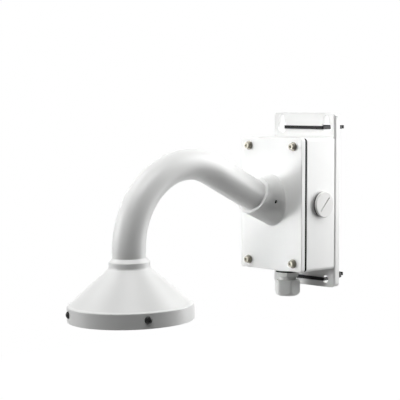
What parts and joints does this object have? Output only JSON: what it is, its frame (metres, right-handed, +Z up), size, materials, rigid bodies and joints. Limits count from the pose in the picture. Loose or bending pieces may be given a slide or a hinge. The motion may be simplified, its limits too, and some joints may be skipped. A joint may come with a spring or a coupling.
{
  "type": "camera wall mount",
  "caption": "Wall and pole mount for a dome camera: junction box on a folded plate, bent tube arm, cone-shaped cap, cable gland, blanking plug and pole straps.",
  "frame": {"origin": "middle of the back plate's rear face, at the box's middle height", "axes": "+X to the right along the wall, +Y into the wall, +Z up"},
  "size_m": [0.1586, 0.4634, 0.2556],
  "materials": {
    "cast_white": "satin powder coat on cast aluminium",
    "tube_white": "satin powder coat on aluminium tube",
    "sheet_white": "satin powder coat on sheet steel",
    "black_rubber": "matt",
    "screw_steel": "passivated steel",
    "zinc_steel": "zinc plated",
    "dark_screw": "bright round head",
    "grey_nylon": "moulded polyamide",
    "white_nylon": "moulded polyamide",
    "strap_nylon": "moulded polyamide",
    "earth_brass": "plain"
  },
  "bodies": {
    "root": {"back_plate": "sheet_white", "box_body": "cast_white", "box_gasket": "black_rubber", "box_cover": "cast_white", "cover_washers": "screw_steel", "cover_screws": "screw_steel", "box_washers": "zinc_steel", "box_screws": "zinc_steel", "box_nuts": "zinc_steel", "earth_screw": "earth_brass", "earth_washer": "earth_brass", "arm_tube": "tube_white", "socket_screw": "dark_screw", "tube_grommet": "black_rubber", "camera_cap": "cast_white", "rim_screws": "dark_screw", "gland_seal": "black_rubber", "gland_body": "grey_nylon", "gland_rubber": "black_rubber", "gland_nut": "grey_nylon", "gland_locknut": "grey_nylon", "plug_seal": "black_rubber", "blanking_plug": "white_nylon", "plug_locknut": "grey_nylon", "upper_strap": "strap_nylon", "lower_strap": "strap_nylon"}
  },
  "joints": []
}
